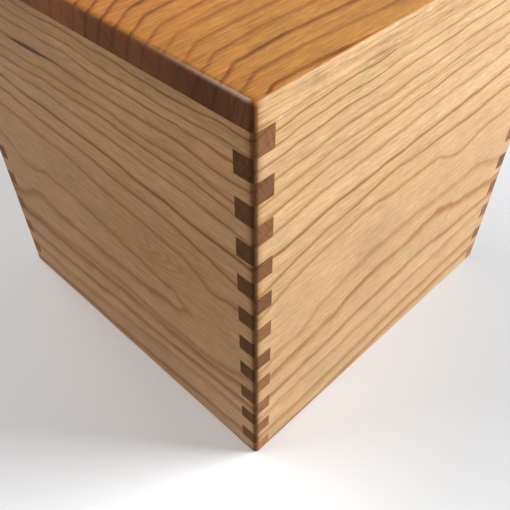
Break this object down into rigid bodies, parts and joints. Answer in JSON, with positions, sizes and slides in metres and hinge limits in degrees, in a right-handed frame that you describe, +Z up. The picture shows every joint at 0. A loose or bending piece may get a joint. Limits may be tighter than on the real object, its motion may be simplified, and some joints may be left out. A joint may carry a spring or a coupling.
{
  "type": "puzzle box",
  "caption": "Near-cubic cherry puzzle box with finger-jointed corners, a captive sliding lid with a disguised tail, and hidden spin and drop pin locks.",
  "frame": {"origin": "middle of the foot of the box, on the surface it stands on", "axes": "+X to the right, +Y to the back, the way the lid slides, +Z up"},
  "size_m": [0.1396, 0.1396, 0.1405],
  "materials": {
    "cherry": "oiled, satin",
    "cherry_lid": "oiled, satin",
    "maple": "bare, waxed",
    "brass": "plain",
    "steel": "ground"
  },
  "bodies": {
    "box": {"front_wall": "cherry", "back_wall": "cherry", "left_wall": "cherry", "right_wall": "cherry", "bottom_panel": "cherry", "rail_left": "maple", "rail_right": "maple", "rail_screws_left": "brass", "rail_screws_right": "brass", "lock_block": "maple", "lock_screws": "brass", "spin_sleeve_left": "brass", "spin_sleeve_right": "brass", "spin_plug_left": "cherry_lid", "spin_plug_right": "cherry_lid", "drop_sleeve": "brass", "drop_plug": "cherry_lid", "block_magnets": "steel"},
    "lid": {"lid_panel": "cherry_lid", "lid_tail": "cherry", "tail_dowels": "maple", "runner_left": "maple", "runner_right": "maple", "runner_screws_left": "brass", "runner_screws_right": "brass", "lid_catch": "cherry_lid", "catch_screws": "brass", "lid_magnets": "steel"},
    "pin_left": {"spin_pin_left": "steel"},
    "pin_right": {"spin_pin_right": "steel"},
    "pin_drop": {"drop_pin": "steel"}
  },
  "joints": [
    {"name": "lid_slide", "type": "slide", "parent": "box", "child": "lid", "axis": [0, 1, 0], "range_m": [0, 0.106]},
    {"name": "spin_pin_left_slide", "type": "slide", "parent": "box", "child": "pin_left", "axis": [1, 0, 0], "range_m": [0, 0.007]},
    {"name": "spin_pin_right_slide", "type": "slide", "parent": "box", "child": "pin_right", "axis": [-1, 0, 0], "range_m": [0, 0.007]},
    {"name": "drop_pin_slide", "type": "slide", "parent": "box", "child": "pin_drop", "axis": [0, 0, 1], "range_m": [0, 0.0076]}
  ]
}
